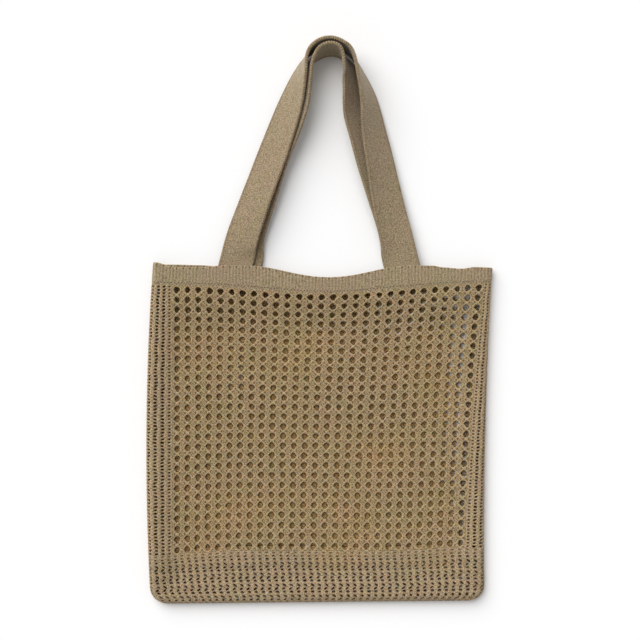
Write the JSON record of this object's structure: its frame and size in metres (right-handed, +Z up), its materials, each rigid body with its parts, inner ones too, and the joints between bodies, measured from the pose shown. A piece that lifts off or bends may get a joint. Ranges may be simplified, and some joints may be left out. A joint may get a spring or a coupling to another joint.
{
  "type": "mesh produce bag",
  "caption": "Flat knitted openwork tote for carrying fruit and vegetables, with a ribbed rim, plain side and base bands and two shoulder handles.",
  "frame": {"origin": "on the surface that the bag lies on, under the middle of the whole bag with its handles laid straight out", "axes": "+Z up out of the front panel, +Y from the base towards the handles, +X to the right as the front is seen"},
  "size_m": [0.3582, 0.5812, 0.0365],
  "materials": {
    "openwork_knit": "matt tan cotton yarn in an openwork stitch",
    "band_knit": "matt tan cotton yarn with rows of small eyelets",
    "rim_rib_knit": "matt tan cotton yarn in a fine rib",
    "handle_knit": "matt tan cotton yarn in a dense fine knit with overcast edges",
    "linking_yarn": "matt tan cotton yarn"
  },
  "bodies": {
    "bag": {"front_mesh_panel": "openwork_knit", "back_mesh_panel": "openwork_knit", "left_side_band": "band_knit", "right_side_band": "band_knit", "base_band": "band_knit", "front_rim_band": "rim_rib_knit", "back_rim_band": "rim_rib_knit", "left_side_seam": "linking_yarn", "right_side_seam": "linking_yarn", "base_seam": "linking_yarn", "front_left_handle_end": "handle_knit", "front_right_handle_end": "handle_knit", "back_left_handle_end": "handle_knit", "back_right_handle_end": "handle_knit", "front_left_handle_stitches": "linking_yarn", "front_right_handle_stitches": "linking_yarn", "back_left_handle_stitches": "linking_yarn", "back_right_handle_stitches": "linking_yarn"},
    "front_handle": {"front_handle_strap": "handle_knit"},
    "back_handle": {"back_handle_strap": "handle_knit"}
  },
  "joints": [
    {"name": "front_handle_swing", "type": "hinge", "parent": "bag", "child": "front_handle", "pos_m": [0, 0.067, 0.0096], "axis": [1, 0, 0], "range_deg": [0, 130]},
    {"name": "back_handle_swing", "type": "hinge", "parent": "bag", "child": "back_handle", "pos_m": [0, 0.067, 0.0024], "axis": [1, 0, 0], "range_deg": [-130, 0]}
  ]
}
